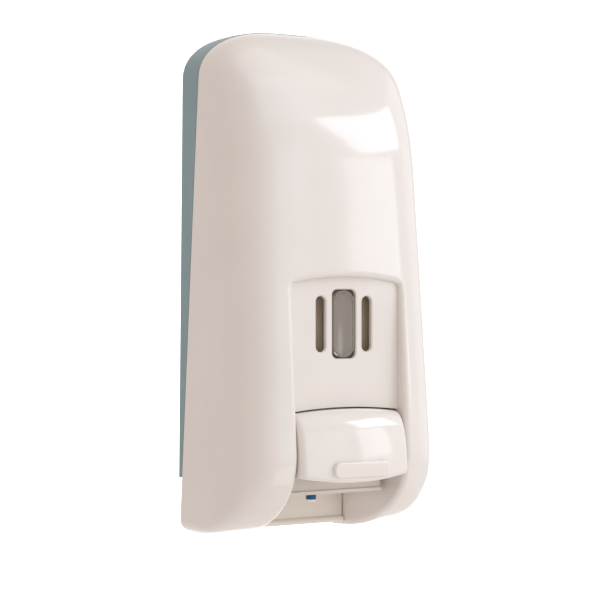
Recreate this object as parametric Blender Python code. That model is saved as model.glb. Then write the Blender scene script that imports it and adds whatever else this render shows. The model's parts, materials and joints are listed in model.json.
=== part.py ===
"""Wall mounted soap dispenser: a push-button pump and reservoir under a hinged cover.

The model is in metres with +Z up. It hangs on a wall in the plane Y = 0, and its front
faces -Y. The origin is on the wall face of the back plate. Inside this file sizes are in
millimetres: x runs to the right, d is the distance from the wall, and z is the height
above the reference line at the foot of the cover. The function world() turns them into
metres.
"""
import math

import bmesh
import bpy
from mathutils import Matrix, Vector

# ---------------------------------------------------------------- driving dimensions, mm
ORIGIN_HEIGHT = 140.0        # height of the origin above the foot line

BODY_TOP = 273.0             # top of the body
BODY_FOOT = -3.0             # lowest point of the two legs beside the channel
HALF_WIDTH_FOOT = 62.5       # half width of the body at the foot line
HALF_WIDTH_TOP = 59.8        # half width of the body near the top
TOP_CORNER = 29.5            # height of the rounding seen from the front
TOP_CORNER_POWER = 2.3
FRONT_DEPTH = 78.5           # depth of the front at its centre line, at FRONT_LEVEL
FRONT_LEVEL = 60.0
FRONT_LEAN = 0.069           # the front leans back this much per mm of height
DOME_HEIGHT = 82.0           # height of the rounding seen from the side
DOME_POWER = 2.27
CHIN_HEIGHT = 47.0           # height below which the underside curves back
CHIN_POWER = 2.15
FOOT_CORNER = 9.0            # height of the rounding along the foot of each side
FOOT_CORNER_INSET = 12.0
SECTION_POWER_FOOT = 7.4     # squareness of the cross-section at the foot
SECTION_POWER_TOP = 4.2      # and at the top
FRONT_BOW = 3.0              # how far the front falls back from centre to corner
SIDE_DRAFT = 0.02
WALL = 2.4                   # thickness of the cover

RIM_DEPTH = 1.5              # distance of the cover's rear rim from the wall at the foot
RIM_SLOPE = 0.065            # growth of that distance per mm of height
RIM_GAP = 0.5                # gap between the cover's rim and the back plate

CHANNEL_HALF = 34.2          # half width of the recess and of the channel below it
PANEL_DEPTH = 68.6           # distance of the recessed panel from the wall
PANEL_TOP = 133.7            # height of the recess at its sides
PANEL_FOOT = 66.0            # lower edge of the panel at its sides
ARCH_RISE = 3.2              # rise of the recess's arched top at the centre
FOOT_RISE = 2.1              # rise of the panel's arched lower edge
SIGHT_HEIGHT = 112.0         # height of the middle of the window and of the slots
WINDOW_SIZE = (14.8, 36.6)
SLOT_SIZE = (6.1, 29.6)
SLOT_X = 14.5

HINGE = (12.4, 7.4)          # (d, z) of the axis that the cover opens about
HINGE_PIN_RADIUS = 1.5
HEEL_RADIUS = 12.1           # the cover's heel is round about that axis, clear of the wall
CHEEK_BACK = 5.0             # distance of the channel walls' rear edges from the wall
CHEEK_TOP = 61.0             # height of their upper edges, below the reservoir's shelf
BUTTON_PIVOT = (62.0, 57.0)  # (d, z) of the axis that the button turns about
BUTTON_PIN_RADIUS = 1.5
BUTTON_HALF = 33.6
BUTTON_TOP = 65.3            # upper edge of the button at its sides
BUTTON_FOOT = 32.5           # lower edge of the button at its sides
BUTTON_SAG = 3.0             # the lower edge hangs this much lower at the centre
BUTTON_PROUD = 0.9           # its upper edge stands this far in front of the panel
BUTTON_SWELL = 12.5          # how far the face swells out below its upper edge
BUTTON_SHOULDER = 27.0       # height over which it swells
BUTTON_POWER = 3.2
BUTTON_LEAN = 0.1            # further growth per mm of height
BUTTON_SIDE_FALL = 4.0       # how far the face falls back from centre to side
BUTTON_EDGE = 3.0            # radius of its side and lower edges
BUTTON_WALL = 2.2

PUMP_Z = 38.0                # height of the pump's axis
PUMP_RADIUS = 9.5
BORE_RADIUS = 7.0
PISTON_BACK = 44.0           # distance of the piston's head from the wall, at rest
PISTON_FACE = 59.0           # and of its push disc
NOZZLE_D = 35.6              # distance of the outlet from the wall
NOZZLE_TIP = 15.0
NECK_D = 30.0                # distance of the reservoir's neck from the wall
CAP_D = 33.0                 # distance of the filler cap's axis from the wall
BOTTLE_D = 34.6              # distance of the reservoir's middle from the wall
BOTTLE_FLOOR = 65.0
BOTTLE_SHOULDER = 186.0      # height at which its shoulders begin to draw in
BOTTLE_WALL = 2.0
CAP_FOOT = 214.9             # lower edge of the filler cap
CLEAR = 0.3                  # gap between neighbouring pieces

FRAME_BACK = 5.8             # distance of the chassis's rear face from the wall
SHEET = 2.4                  # thickness of the chassis's walls
APRON_HALF = 33.6
BOX_HALF = 31.0              # half width of the pump box
BOX_FRONT = 57.0

SCREW_PLACES = ((-50.5, 74.0), (50.5, 74.0), (-24.0, 36.0), (24.0, 36.0))
WALL_HOLES = ((-44.0, 98.0), (44.0, 98.0), (-40.0, 232.0), (40.0, 232.0))


# ------------------------------------------------------------------------------- helpers
def world(x, d, z):
    """A point in the object's frame, in metres."""
    return Vector((x, -d, z - ORIGIN_HEIGHT)) * 0.001


def clear_scene():
    for obj in list(bpy.data.objects):
        bpy.data.objects.remove(obj, do_unlink=True)


def linear(channel):
    """One 0..255 display value as a linear colour value."""
    c = channel / 255.0
    return c / 12.92 if c <= 0.04045 else ((c + 0.055) / 1.055) ** 2.4


def make_material(name, colour, roughness, metallic=0.0, alpha=1.0):
    material = bpy.data.materials.new(name)
    material.use_nodes = True
    shader = material.node_tree.nodes["Principled BSDF"]
    shader.inputs["Base Color"].default_value = (*[linear(c) for c in colour], 1.0)
    shader.inputs["Roughness"].default_value = roughness
    shader.inputs["Metallic"].default_value = metallic
    shader.inputs["Alpha"].default_value = alpha
    return material


def make_object(name, points, faces, material=None):
    """A mesh object from points in millimetres, with its faces turned outward."""
    mesh = bpy.data.meshes.new(name)
    mesh.from_pydata([world(*p) for p in points], [], faces)
    bm = bmesh.new()
    bm.from_mesh(mesh)
    bmesh.ops.remove_doubles(bm, verts=bm.verts, dist=1e-7)
    bmesh.ops.recalc_face_normals(bm, faces=bm.faces)
    bm.to_mesh(mesh)
    bm.free()
    obj = bpy.data.objects.new(name, mesh)
    bpy.context.scene.collection.objects.link(obj)
    if material:
        mesh.materials.append(material)
    return obj


def combine(obj, tool, operation):
    """Apply one boolean with a tool object and remove the tool."""
    modifier = obj.modifiers.new("cut", 'BOOLEAN')
    modifier.operation = operation
    modifier.solver = 'EXACT'
    modifier.object = tool
    graph = bpy.context.evaluated_depsgraph_get()
    result = bpy.data.meshes.new_from_object(obj.evaluated_get(graph))
    obj.modifiers.remove(modifier)
    obj.data = result
    bpy.data.objects.remove(tool, do_unlink=True)
    return obj


def cut(obj, *tools):
    for tool in tools:
        combine(obj, tool, 'DIFFERENCE')
    return obj


def add(obj, *tools):
    for tool in tools:
        combine(obj, tool, 'UNION')
    return obj


def loft(name, rings, material=None):
    """A closed solid through rings of equal length, with a flat cap at each end."""
    count = len(rings[0])
    points = [p for ring in rings for p in ring]
    faces = [list(range(count))]
    for row in range(len(rings) - 1):
        for i in range(count):
            j = (i + 1) % count
            a = row * count
            b = a + count
            faces.append([a + i, a + j, b + j, b + i])
    last = (len(rings) - 1) * count
    faces.append(list(range(last, last + count)))
    return make_object(name, points, faces, material)


def prism(name, outline, d0, d1, material=None):
    """An outline of (x, z) points, extruded from distance d0 to d1."""
    rings = [[(x, d, z) for x, z in outline] for d in (d0, d1)]
    return loft(name, rings, material)


def side_prism(name, outline, x0, x1, material=None):
    """An outline of (d, z) points, extruded from x0 to x1."""
    rings = [[(x, d, z) for d, z in outline] for x in (x0, x1)]
    return loft(name, rings, material)


def box(name, x_range, d_range, z_range, material=None):
    x0, x1 = x_range
    z0, z1 = z_range
    outline = [(x0, z0), (x1, z0), (x1, z1), (x0, z1)]
    return prism(name, outline, d_range[0], d_range[1], material)


def along(axis, place, radial, lift):
    """A point at a polar offset around an axis through place, lift along the axis."""
    x, d, z = place
    c, s = radial
    if axis == 'x':
        return (x + lift, d + c, z + s)
    if axis == 'd':
        return (x + c, d + lift, z + s)
    return (x + c, d + s, z + lift)


def turned(name, axis, place, profile, material=None, segments=24):
    """A solid of revolution: profile is (lift, radius) pairs, all radii over zero."""
    rings = []
    for lift, radius in profile:
        ring = []
        for i in range(segments):
            angle = 2.0 * math.pi * (i + 0.5) / segments
            radial = (radius * math.cos(angle), radius * math.sin(angle))
            ring.append(along(axis, place, radial, lift))
        rings.append(ring)
    return loft(name, rings, material)


def washer(name, axis, place, profile, material=None, segments=24):
    """A closed ring of revolution: profile is a closed loop of (lift, radius) pairs."""
    count = len(profile)
    points = []
    for i in range(segments):
        angle = 2.0 * math.pi * (i + 0.5) / segments
        for lift, radius in profile:
            radial = (radius * math.cos(angle), radius * math.sin(angle))
            points.append(along(axis, place, radial, lift))
    faces = []
    for i in range(segments):
        j = (i + 1) % segments
        for k in range(count):
            n = (k + 1) % count
            faces.append([i * count + k, i * count + n, j * count + n, j * count + k])
    return make_object(name, points, faces, material)


def rod(name, axis, place, radius, length, material=None, segments=20):
    return turned(name, axis, place, [(0.0, radius), (length, radius)], material, segments)


def rounded_box_outline(cx, cz, width, height, radius, steps=5):
    """A rectangle with round corners, as (x, z) points."""
    outline = []
    corners = ((1, 1, 0.0), (-1, 1, 90.0), (-1, -1, 180.0), (1, -1, 270.0))
    for sx, sz, start in corners:
        ox = cx + sx * (width / 2.0 - radius)
        oz = cz + sz * (height / 2.0 - radius)
        for k in range(steps + 1):
            angle = math.radians(start + 90.0 * k / steps)
            outline.append((ox + radius * math.cos(angle), oz + radius * math.sin(angle)))
    return outline


def arched_outline(half, foot, side_top, rise, steps=12):
    """A panel outline with a straight foot and an arched top, as (x, z) points."""
    outline = [(-half, foot), (half, foot)]
    for k in range(steps + 1):
        s = 1.0 - 2.0 * k / steps
        outline.append((half * s, side_top + rise * (1.0 - s * s)))
    return outline


def smooth(obj, degrees=35.0):
    obj.data.shade_smooth()
    obj.data.set_sharp_from_angle(angle=math.radians(degrees))
    return obj


def triangulate(obj):
    """Split a curved solid's four-sided faces, so that booleans cut it cleanly."""
    bm = bmesh.new()
    bm.from_mesh(obj.data)
    bmesh.ops.triangulate(bm, faces=bm.faces)
    bm.to_mesh(obj.data)
    bm.free()
    return obj


def set_origin(obj, place):
    """Move an object's origin to a point without moving its shape."""
    target = world(*place)
    obj.data.transform(Matrix.Translation(-target))
    obj.location = target
    return obj


# ------------------------------------------------------------------------ the body's form
def fall(u, power):
    """A quarter of a superellipse: 1 at u = 0 and 0 at u = 1."""
    u = min(max(u, 0.0), 1.0)
    return (1.0 - u ** power) ** (1.0 / power)


def half_width(z, inset):
    share = z / BODY_TOP
    width = HALF_WIDTH_FOOT + (HALF_WIDTH_TOP - HALF_WIDTH_FOOT) * share - inset
    top = (z - (BODY_TOP - TOP_CORNER)) / (TOP_CORNER - inset)
    foot = (BODY_FOOT + FOOT_CORNER - z) / (FOOT_CORNER - inset)
    width *= fall(top, TOP_CORNER_POWER)
    return width - FOOT_CORNER_INSET * (1.0 - fall(foot, 2.0))


def front_depth(z, inset):
    depth = FRONT_DEPTH - FRONT_LEAN * (z - FRONT_LEVEL) - inset
    dome = (z - (BODY_TOP - DOME_HEIGHT)) / (DOME_HEIGHT - inset)
    chin = (CHIN_HEIGHT - z) / (CHIN_HEIGHT - BODY_FOOT - inset)
    return depth * fall(dome, DOME_POWER) * fall(chin, CHIN_POWER)


def section(z, inset, steps):
    """The body's cross-section at a height, from the right side round to the left."""
    power = SECTION_POWER_FOOT + (SECTION_POWER_TOP - SECTION_POWER_FOOT) * z / BODY_TOP
    width = half_width(z, inset)
    depth = front_depth(z, inset)
    points = []
    for k in range(steps + 1):
        angle = math.pi * k / steps
        c = math.cos(angle)
        s = math.sin(angle)
        reach = (abs(c) ** power + abs(s) ** power) ** (1.0 / power)
        c /= reach
        s /= reach
        d = s * depth * (1.0 - FRONT_BOW * c * c / FRONT_DEPTH)
        x = width * c * (1.0 - SIDE_DRAFT * d / FRONT_DEPTH)
        points.append((x, d, z))
    return points


def body_levels(inset, foot_steps, middle_steps, dome_steps, top_steps):
    """Heights for the body's rings, closer together where the form curves."""
    foot = BODY_FOOT + inset
    top = BODY_TOP - inset
    dome = BODY_TOP - DOME_HEIGHT
    corner = BODY_TOP - TOP_CORNER
    levels = []
    for k in range(foot_steps):
        angle = 0.5 * math.pi * (k + 0.12) / foot_steps
        levels.append(foot + (CHIN_HEIGHT - foot) * (1.0 - math.cos(angle)))
    for k in range(middle_steps):
        levels.append(CHIN_HEIGHT + (dome - CHIN_HEIGHT) * k / middle_steps)
    for k in range(dome_steps):
        levels.append(dome + (corner - dome) * math.sin(0.5 * math.pi * k / dome_steps))
    for k in range(top_steps):
        levels.append(corner + (top - corner) * math.sin(0.49 * math.pi * k / (top_steps - 1)))
    return levels


def body_solid(name, inset, ring_steps, level_steps):
    rings = [section(z, inset, ring_steps) for z in body_levels(inset, *level_steps)]
    return loft(name, rings)


def rim_depth(z):
    return RIM_DEPTH + RIM_SLOPE * z


def behind_rim(name):
    """Everything behind the plane of the cover's rear rim."""
    low = -60.0
    high = 330.0
    outline = [(-60.0, low), (rim_depth(low), low), (rim_depth(high), high), (-60.0, high)]
    return side_prism(name, outline, -90.0, 90.0)


# ------------------------------------------------------------------------------- cover
def channel_cutters():
    """The recess in the front and the open channel below it."""
    recess = arched_outline(CHANNEL_HALF, PANEL_FOOT - 6.0, PANEL_TOP, ARCH_RISE)
    channel = arched_outline(CHANNEL_HALF, -30.0, PANEL_FOOT, FOOT_RISE)
    yield prism("recess_cutter", recess, PANEL_DEPTH, 130.0)
    yield prism("channel_cutter", channel, -30.0, 130.0)


def sight_cutters():
    """The window for the lens and the slot on each side of it."""
    depths = (PANEL_DEPTH - 6.0, PANEL_DEPTH + 6.0)
    window = rounded_box_outline(0.0, SIGHT_HEIGHT, WINDOW_SIZE[0], WINDOW_SIZE[1], 3.0)
    yield prism("window_cutter", window, *depths)
    for side in (-1, 1):
        radius = SLOT_SIZE[0] / 2.0 - 0.01
        slot = rounded_box_outline(side * SLOT_X, SIGHT_HEIGHT, *SLOT_SIZE, radius)
        yield prism("slot_cutter", slot, *depths)


def cross_hole(place, radius, x_range):
    """A round cutter along x through a (d, z) place."""
    start = (x_range[0], place[0], place[1])
    return rod("hole_cutter", 'x', start, radius, x_range[1] - x_range[0])


def heel_cutter():
    """Everything behind and below the hinge that would strike the wall as the cover opens."""
    outline = [(-60.0, HINGE[1]), (-60.0, -60.0), (HINGE[0], -60.0)]
    for k in range(9):
        angle = math.radians(270.0 - 90.0 * k / 8)
        outline.append((HINGE[0] + HEEL_RADIUS * math.cos(angle),
                        HINGE[1] + HEEL_RADIUS * math.sin(angle)))
    return side_prism("heel_cutter", outline, -90.0, 90.0)


def make_cover(material):
    half = CHANNEL_HALF + WALL
    cavity = body_solid("cavity", WALL, 32, (6, 5, 4, 6))
    pan = arched_outline(half, PANEL_FOOT - 30.0, PANEL_TOP + WALL, ARCH_RISE)
    cut(cavity, prism("pan_block", pan, PANEL_DEPTH - WALL, 130.0))
    cheeks = box("cheek_block", (-half, half), (CHEEK_BACK, 130.0), (-40.0, CHEEK_TOP))
    cut(cavity, cheeks)
    cover = body_solid("front_cover", 0.0, 40, (9, 5, 5, 8))
    cover.data.materials.append(material)
    cut(cover, behind_rim("rim_cutter"), cavity, *channel_cutters(), *sight_cutters())
    cut(cover, heel_cutter())
    for side in (-1, 1):
        reach = sorted((side * (CHANNEL_HALF - 2.0), side * (half + 2.0)))
        cut(cover, cross_hole(HINGE, HINGE_PIN_RADIUS + 0.6, reach))
        cut(cover, cross_hole(BUTTON_PIVOT, BUTTON_PIN_RADIUS + CLEAR, reach))
    return set_origin(smooth(cover), (0.0, *HINGE))


def make_lens(material):
    """A clear block that fills the window, with a flange behind the panel."""
    back = PANEL_DEPTH - WALL
    width, height = WINDOW_SIZE
    flange = rounded_box_outline(0.0, SIGHT_HEIGHT, width + 6.0, height + 6.0, 4.0)
    lens = prism("sight_lens", flange, back - 3.0, back - 1.4, material)
    front = rounded_box_outline(0.0, SIGHT_HEIGHT, width - 0.8, height - 0.8, 2.8)
    add(lens, prism("lens_front", front, back - 2.0, PANEL_DEPTH + 0.4))
    return smooth(lens)


def make_lens_gasket(material):
    back = PANEL_DEPTH - WALL
    width, height = WINDOW_SIZE
    outer = rounded_box_outline(0.0, SIGHT_HEIGHT, width + 6.0, height + 6.0, 4.0)
    inner = rounded_box_outline(0.0, SIGHT_HEIGHT, width + 1.0, height + 1.0, 3.2)
    gasket = prism("lens_gasket", outer, back - 1.1, back - CLEAR, material)
    return smooth(cut(gasket, prism("gasket_cutter", inner, back - 5.0, back + 5.0)))


# ------------------------------------------------------------------------------- button
def bow(x, half):
    """1 at the centre line and 0 at the sides."""
    return 1.0 - (x / half) ** 2


def button_front(x, z):
    """Distance of the button's face from the wall, before its edges are rounded."""
    below = BUTTON_TOP + FOOT_RISE * bow(x, BUTTON_HALF) - z
    swell = BUTTON_SWELL * fall(1.0 - below / BUTTON_SHOULDER, BUTTON_POWER)
    side = BUTTON_SIDE_FALL * (x / BUTTON_HALF) ** 2
    return PANEL_DEPTH + BUTTON_PROUD + swell + BUTTON_LEAN * below - side


def edge_dip(side_gap, foot_gap):
    """How far a rounded edge falls back at a distance from the side and from the foot."""
    a = max(BUTTON_EDGE - side_gap, 0.0)
    b = max(BUTTON_EDGE - foot_gap, 0.0)
    reach = min(math.hypot(a, b), BUTTON_EDGE)
    return BUTTON_EDGE - math.sqrt(BUTTON_EDGE ** 2 - reach ** 2)


def edge_steps(length, start_steps, middle_steps, end_steps):
    """Positions from 0 to length, closer together over the rounded ends."""
    steps = []
    for k in range(start_steps):
        steps.append(BUTTON_EDGE * (1.0 - math.cos(0.5 * math.pi * k / start_steps)))
    for k in range(middle_steps + 1):
        steps.append(BUTTON_EDGE + (length - 2.0 * BUTTON_EDGE) * k / middle_steps)
    for k in range(1, end_steps + 1):
        angle = 0.5 * math.pi * k / end_steps
        steps.append(length - BUTTON_EDGE * (1.0 - math.sin(angle)))
    return steps


def button_rings(inset, back, columns, rows):
    """Rings from the button's foot to its arched top; each is a slice at one height."""
    half = BUTTON_HALF - inset
    across = [half - step for step in edge_steps(2.0 * half, *columns)]
    height = BUTTON_TOP - BUTTON_FOOT - 2.0 * inset
    rings = []
    for step in edge_steps(height, *rows):
        front = []
        rear = []
        for x in across:
            foot = BUTTON_FOOT + inset - BUTTON_SAG * bow(x, half)
            top = BUTTON_TOP - inset + FOOT_RISE * bow(x, half)
            z = foot + (top - foot) * step / height
            dip = edge_dip(half - abs(x), z - foot)
            front.append((x, button_front(x, z) - inset - dip, z))
            rear.append((x, back, z))
        rings.append(front + rear[::-1])
    return rings


def push_nose():
    """The round-ended bar inside the button that bears on the pump's piston."""
    radius = 3.0
    start = PISTON_FACE + CLEAR + radius
    end = 84.0
    outline = [(start, PUMP_Z + radius), (end, PUMP_Z + radius), (end, PUMP_Z - radius)]
    for k in range(8):
        angle = math.radians(270.0 - 180.0 * k / 8)
        outline.append((start + radius * math.cos(angle), PUMP_Z + radius * math.sin(angle)))
    return side_prism("push_nose", outline, -5.0, 5.0)


def make_button(material):
    """A thin shell with a grip bar, pivot bosses, and a nose that pushes the pump."""
    button = loft("push_button", button_rings(0.0, 58.5, (3, 10, 3), (3, 6, 4)), material)
    hollow = loft("button_hollow", button_rings(BUTTON_WALL, 40.0, (2, 8, 2), (2, 5, 3)))
    inside = BUTTON_HALF - BUTTON_WALL - 0.2
    floor = box("floor_cutter", (-inside, inside), (40.0, 72.0), (20.0, BUTTON_FOOT + 3.0))
    above = box("reservoir_gap", (-BUTTON_HALF - 1.0, BUTTON_HALF + 1.0), (40.0, 62.0), (63.0, 72.0))
    cut(triangulate(button), triangulate(hollow), floor, above)
    face = button_front(0.0, 36.4)
    bar = rounded_box_outline(0.0, 36.4, 34.0, 8.2, 3.4)
    add(button, prism("grip_bar", bar, face - 3.0, face + 1.5), push_nose())
    for side in (-1, 1):
        start = -BUTTON_HALF + 1.0 if side < 0 else BUTTON_HALF - 5.0
        add(button, rod("pivot_boss", 'x', (start, *BUTTON_PIVOT), 3.4, 4.0))
        reach = sorted((side * 25.0, side * 36.0))
        cut(button, cross_hole(BUTTON_PIVOT, BUTTON_PIN_RADIUS + CLEAR, reach))
    return set_origin(smooth(button), (0.0, *BUTTON_PIVOT))


# ---------------------------------------------------------------------------- back plate
def keyhole(x, z):
    """A keyhole for a wall screw: a round hole with a narrower slot above it."""
    hole = rod("key_cutter", 'd', (x, -5.0, z), 4.5, 10.0, segments=16)
    slot = rounded_box_outline(x, z + 5.0, 4.6, 10.0, 2.2, 4)
    return hole, prism("key_slot", slot, -5.0, 5.0)


def make_back_plate(material):
    """A tray that follows the body's outline, with a narrow tongue at its foot."""
    plate = body_solid("back_plate", 0.0, 40, (9, 5, 5, 8))
    plate.data.materials.append(material)
    front = box("front_cutter", (-90.0, 90.0), (-30.0, 130.0), (-60.0, 28.6))
    cut(plate, front)
    ahead = [(rim_depth(-60.0) - RIM_GAP, -60.0), (130.0, -60.0), (130.0, 330.0)]
    ahead.append((rim_depth(330.0) - RIM_GAP, 330.0))
    cut(plate, side_prism("ahead_cutter", ahead, -90.0, 90.0))
    tray = body_solid("tray_cutter", 2.2, 32, (6, 5, 4, 6))
    tray.data.transform(Matrix.Translation((0.0, -0.0025, 0.0)))
    cut(plate, tray)
    tongue = rounded_box_outline(0.0, 18.0, 58.0, 32.0, 3.0)
    add(plate, prism("tongue", tongue, 0.0, 2.5))
    for x, z in SCREW_PLACES:
        add(plate, rod("screw_boss", 'd', (x, 1.0, z), 4.5, 4.5, segments=16))
        cut(plate, rod("boss_hole", 'd', (x, 1.0, z), 1.9, 10.0, segments=12))
    for x, z in WALL_HOLES:
        cut(plate, *keyhole(x, z))
    return smooth(plate)


# ------------------------------------------------------------------------------- chassis
def chassis_lip():
    """The rolled lower edge of the apron, as (d, z) points."""
    radius = 1.8
    front = 15.0
    outline = [(FRAME_BACK, 2.0 * radius), (front, 2.0 * radius)]
    for k in range(1, 7):
        angle = math.radians(90.0 - 180.0 * k / 7)
        outline.append((front + radius * math.cos(angle), radius + radius * math.sin(angle)))
    return outline + [(front, 0.0), (FRAME_BACK, 0.0)]


def make_chassis(material):
    """The white inner frame: rear panel, reservoir shelf, pump box, apron and lip."""
    back = FRAME_BACK
    rear = (back, back + SHEET)
    chassis = box("chassis", (-30.5, 30.5), rear, (4.0, 66.0), material)
    add(chassis, box("upper_panel", (-54.5, 54.5), rear, (62.0, 84.0)))
    add(chassis, box("shelf", (-50.0, 50.0), (back, 58.0), (62.0, 64.4)))
    add(chassis, box("box_floor", (-BOX_HALF, BOX_HALF), (back, BOX_FRONT + 1.0), (21.4, 23.2)))
    front = (BOX_FRONT - SHEET, BOX_FRONT)
    add(chassis, box("box_front", (-BOX_HALF, BOX_HALF), front, (22.0, 48.0)))
    for side in (-1, 1):
        cheek = sorted((side * (BOX_HALF - SHEET), side * BOX_HALF))
        add(chassis, box("box_side", cheek, (back, BOX_FRONT), (22.0, 63.0)))
    add(chassis, box("apron", (-APRON_HALF, APRON_HALF), (12.6, 15.0), (1.5, 22.0)))
    add(chassis, side_prism("lip", chassis_lip(), -APRON_HALF, APRON_HALF))
    cut(chassis, rod("pump_hole", 'd', (0.0, 45.0, PUMP_Z), PUMP_RADIUS + 0.5, 20.0))
    cut(chassis, rod("nozzle_hole", 'z', (0.0, NOZZLE_D, 10.0), 4.2, 16.0))
    cut(chassis, rod("neck_hole", 'z', (0.0, NECK_D, 55.0), 12.5, 14.0))
    for x, z in SCREW_PLACES:
        cut(chassis, rod("screw_hole", 'd', (x, 0.0, z), 2.1, 12.0, segments=12))
    for x, z in SCREW_PLACES[2:]:
        cut(chassis, rod("driver_hole", 'd', (x, 45.0, z), 4.2, 20.0, segments=16))
    for side in (-1, 1):
        block = sorted((side * 24.5, side * APRON_HALF))
        add(chassis, box("hinge_block", block, (back, 15.0), (2.0, 13.4)))
        reach = sorted((side * 24.0, side * 36.0))
        cut(chassis, cross_hole(HINGE, HINGE_PIN_RADIUS + CLEAR, reach))
    return smooth(chassis)


def make_screw(name, x, z, material):
    """A pan-head screw with a cross recess, through the chassis into the back plate."""
    head = FRAME_BACK + SHEET + CLEAR
    profile = [(-5.6, 1.0), (-4.6, 1.5), (0.0, 1.5), (0.0, 3.4), (1.2, 3.2), (2.2, 2.2)]
    screw = turned(name, 'd', (x, head, z), profile, material, 14)
    for wide, tall in ((3.0, 0.8), (0.8, 3.0)):
        limits = ((x - wide / 2, x + wide / 2), (head + 1.2, head + 4.0))
        cut(screw, box("drive_cutter", *limits, (z - tall / 2, z + tall / 2)))
    return smooth(screw)


# ------------------------------------------------------------------------- pump and valve
def make_pump_body(material):
    """A cylinder with a blind bore, an inlet on top and an outlet below."""
    back = 17.5
    start = (0.0, back, PUMP_Z)
    profile = [(0.0, PUMP_RADIUS), (29.5, PUMP_RADIUS)]
    body = turned("pump_body", 'd', start, profile, material, 28)
    inlet = (0.0, NECK_D, PUMP_Z + 4.0)
    add(body, rod("inlet_tube", 'z', inlet, 6.5, 16.0))
    outlet = (0.0, NOZZLE_D, PUMP_Z - 13.2)
    add(body, rod("outlet_tube", 'z', outlet, 4.6, 8.0))
    bore = turned("bore", 'd', (0.0, back + 2.5, PUMP_Z), [(0.0, BORE_RADIUS), (40.0, BORE_RADIUS)])
    inlet_bore = rod("inlet_bore", 'z', (0.0, NECK_D, PUMP_Z), 2.0, 12.0)
    seat = rod("ball_chamber", 'z', (0.0, NECK_D, PUMP_Z + 11.0), 4.2, 14.0)
    outlet_bore = rod("outlet_bore", 'z', (0.0, NOZZLE_D, PUMP_Z - 20.0), 1.5, 20.0)
    socket = rod("nozzle_socket", 'z', (0.0, NOZZLE_D, PUMP_Z - 16.0), 3.4, 7.0)
    cut(body, bore, inlet_bore, seat, outlet_bore, socket)
    return smooth(body)


def make_pump_gland(material):
    """A ring nut that closes the front of the bore round the piston's rod."""
    profile = [(0.0, 3.9), (0.0, 9.2), (2.4, 9.2), (2.4, 3.9)]
    return smooth(washer("pump_gland", 'd', (0.0, 47.3, PUMP_Z), profile, material, 28))


def make_piston(material):
    """Head, rod and push disc in one moulding, with a groove for the seal."""
    profile = [(0.0, 6.6), (0.8, 6.6), (0.8, 5.0), (2.2, 5.0), (2.2, 6.6), (3.0, 6.6)]
    profile += [(3.0, 3.5), (12.8, 3.5), (12.8, 6.0), (14.4, 6.0), (15.0, 5.4)]
    piston = turned("pump_piston", 'd', (0.0, PISTON_BACK, PUMP_Z), profile, material, 24)
    return set_origin(smooth(piston), (0.0, PISTON_FACE, PUMP_Z))


def make_piston_seal(material):
    """An O-ring of nearly square section in the piston's groove."""
    profile = [(1.1, 5.3), (1.1, 6.7), (1.9, 6.7), (1.9, 5.3)]
    seal = washer("piston_seal", 'd', (0.0, PISTON_BACK, PUMP_Z), profile, material, 24)
    return set_origin(smooth(seal, 50.0), (0.0, PISTON_FACE, PUMP_Z))


def make_spring(name, place, length, radius, wire, turns, material):
    """A compression spring along d, from place forward."""
    steps = turns * 12
    sides = 6
    rings = []
    for k in range(steps + 1):
        angle = 2.0 * math.pi * turns * k / steps
        lift = wire + (length - 2.0 * wire) * k / steps
        ring = []
        for i in range(sides):
            turn = 2.0 * math.pi * i / sides
            reach = radius + wire * math.cos(turn)
            radial = (reach * math.cos(angle), reach * math.sin(angle))
            ring.append(along('d', place, radial, lift + wire * math.sin(turn)))
        rings.append(ring)
    return smooth(loft(name, rings, material), 60.0)


def make_ball(name, place, radius, material):
    """A valve ball, made of rings between two small flats."""
    profile = []
    for k in range(9):
        angle = math.radians(-80.0 + 160.0 * k / 8)
        profile.append((radius * math.sin(angle), radius * math.cos(angle)))
    return smooth(turned(name, 'z', place, profile, material, 16), 60.0)


def make_nozzle(material):
    """The blue outlet tip: a stepped tube that plugs into the pump's outlet."""
    foot = NOZZLE_TIP
    top = PUMP_Z - 9.6
    profile = [(0.0, 1.3), (0.0, 2.0), (0.5, 2.6), (1.2, 2.8), (7.2, 2.8), (7.2, 3.0)]
    profile += [(top - foot, 3.0), (top - foot, 1.3)]
    place = (0.0, NOZZLE_D, foot)
    return smooth(washer("nozzle", 'z', place, profile, material, 24))


# ----------------------------------------------------------------------------- reservoir
def bottle_rings(inset, levels):
    """Rounded rectangles up the reservoir; its shoulders draw in near the top."""
    rings = []
    for z in levels:
        shoulder = fall((z - BOTTLE_SHOULDER) / (30.0 - inset), 2.2)
        width = 92.0 * (0.55 + 0.45 * shoulder) - 2.0 * inset
        depth = 51.4 * (0.72 + 0.28 * shoulder) - 2.0 * inset
        outline = rounded_box_outline(0.0, 0.0, width, depth, 9.0 - inset, 4)
        rings.append([(x, BOTTLE_D + y, z) for x, y in outline])
    return rings


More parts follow.
